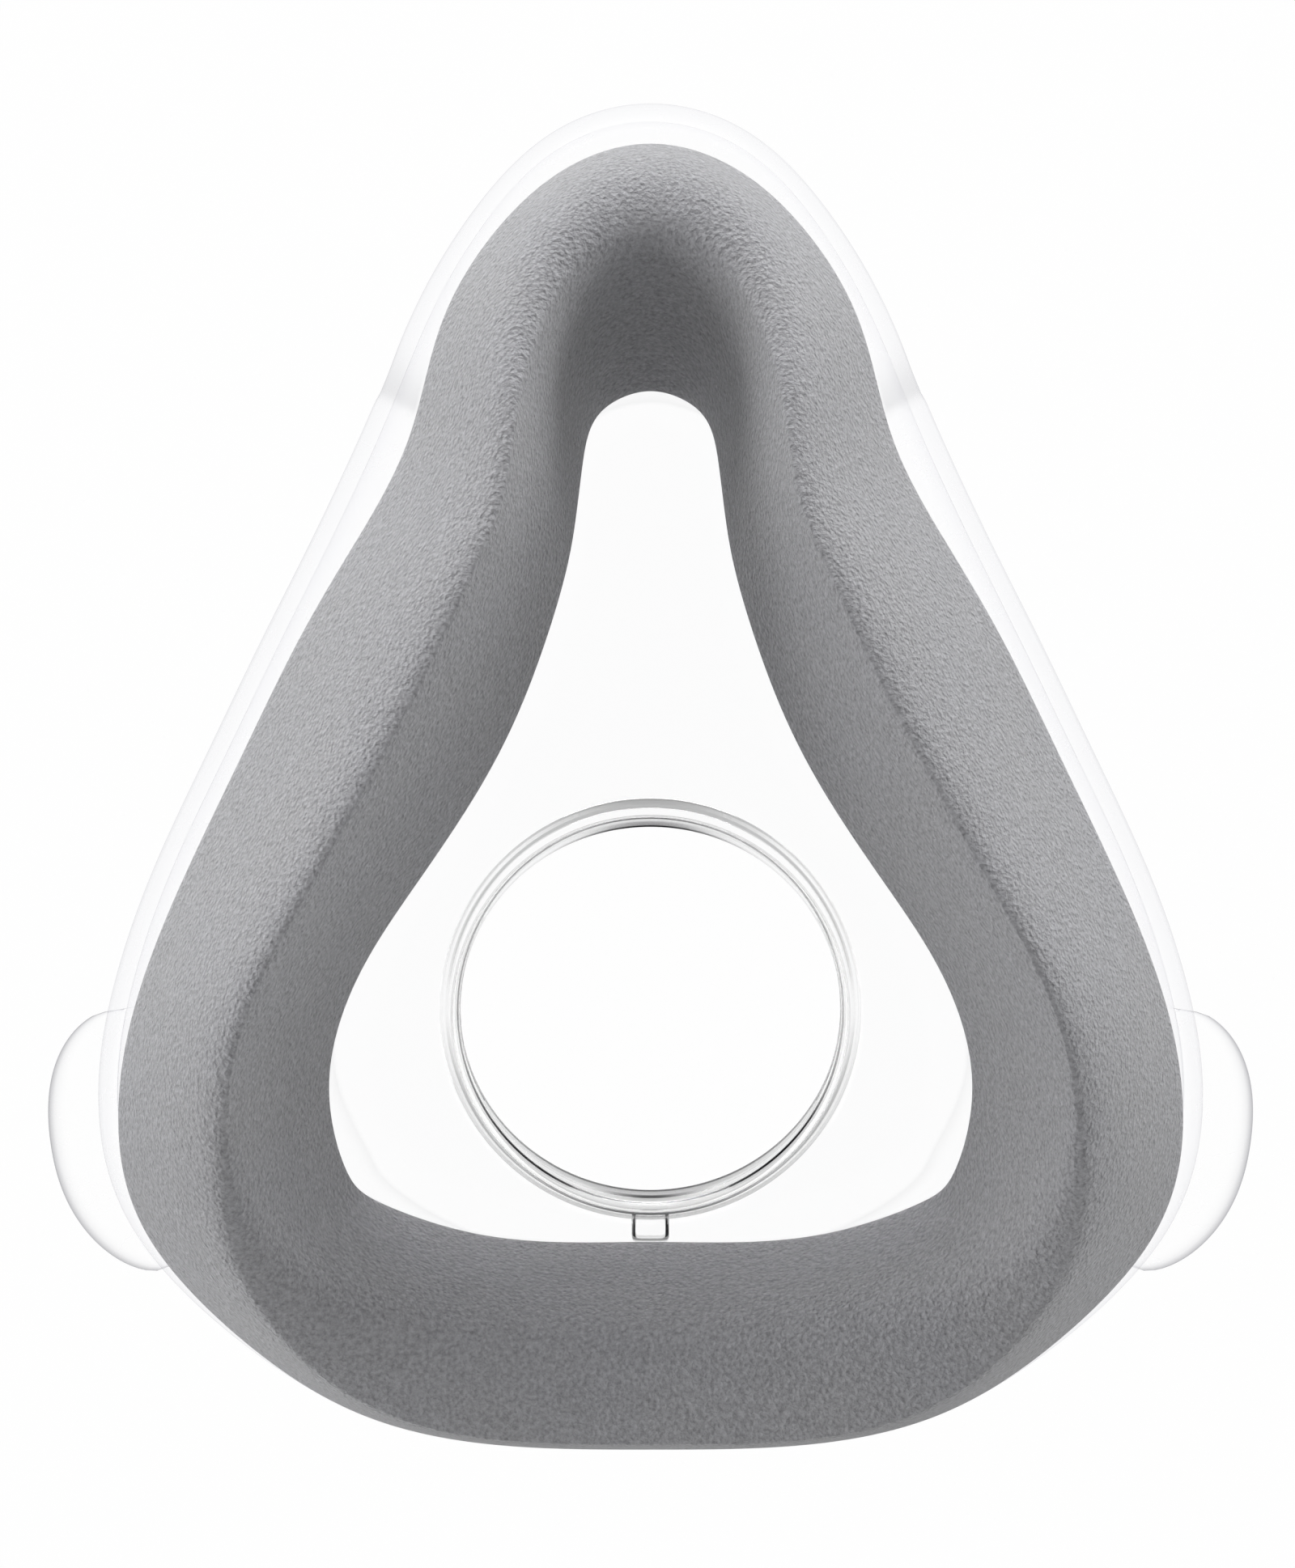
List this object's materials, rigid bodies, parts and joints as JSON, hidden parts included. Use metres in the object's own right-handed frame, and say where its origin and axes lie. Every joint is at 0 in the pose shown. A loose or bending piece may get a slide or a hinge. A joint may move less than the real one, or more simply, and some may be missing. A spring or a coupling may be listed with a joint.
{
  "type": "full face cpap mask cushion",
  "caption": "Cushion module of a full face breathing mask: contoured foam seal on a silicone skirt with side wings, bonded to a clear dished shell with a round port collar.",
  "frame": {"origin": "centre of the port bore in the plane of the collar's front rim, on which the part lies", "axes": "+Z from the port towards the face that the seal meets, +Y from the mouth to the bridge of the nose, +X to the right as seen from the face side"},
  "size_m": [0.111, 0.1223, 0.0621],
  "materials": {
    "foam": "matt open-cell memory foam with a fine speckled skin",
    "silicone": "satin translucent moulded silicone",
    "clear_plastic": "clear moulded plastic, polished"
  },
  "bodies": {
    "root": {"foam_seal": "foam", "silicone_skirt": "silicone", "clear_shell": "clear_plastic"}
  },
  "joints": []
}
